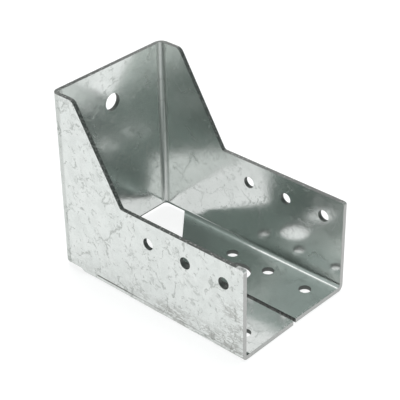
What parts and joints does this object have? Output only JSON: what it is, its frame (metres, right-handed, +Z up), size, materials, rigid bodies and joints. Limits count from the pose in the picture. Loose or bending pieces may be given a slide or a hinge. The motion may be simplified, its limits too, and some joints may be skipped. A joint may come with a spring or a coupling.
{
  "type": "u bracket",
  "caption": "U-shaped seat bracket folded from one sheet: tall back plate, side walls that step down to the front, and a split base with an open rear relief.",
  "frame": {"origin": "on the plane that the bracket stands on, under the middle of its bounding box", "axes": "+X across the bracket to the right wall, +Y from the open front to the back plate, +Z up"},
  "size_m": [0.096, 0.153, 0.126],
  "materials": {
    "galvanised_steel": "hot-dip galvanised, fine spangle, light scratches and smudges"
  },
  "bodies": {
    "root": {"folded_bracket": "galvanised_steel"}
  },
  "joints": []
}
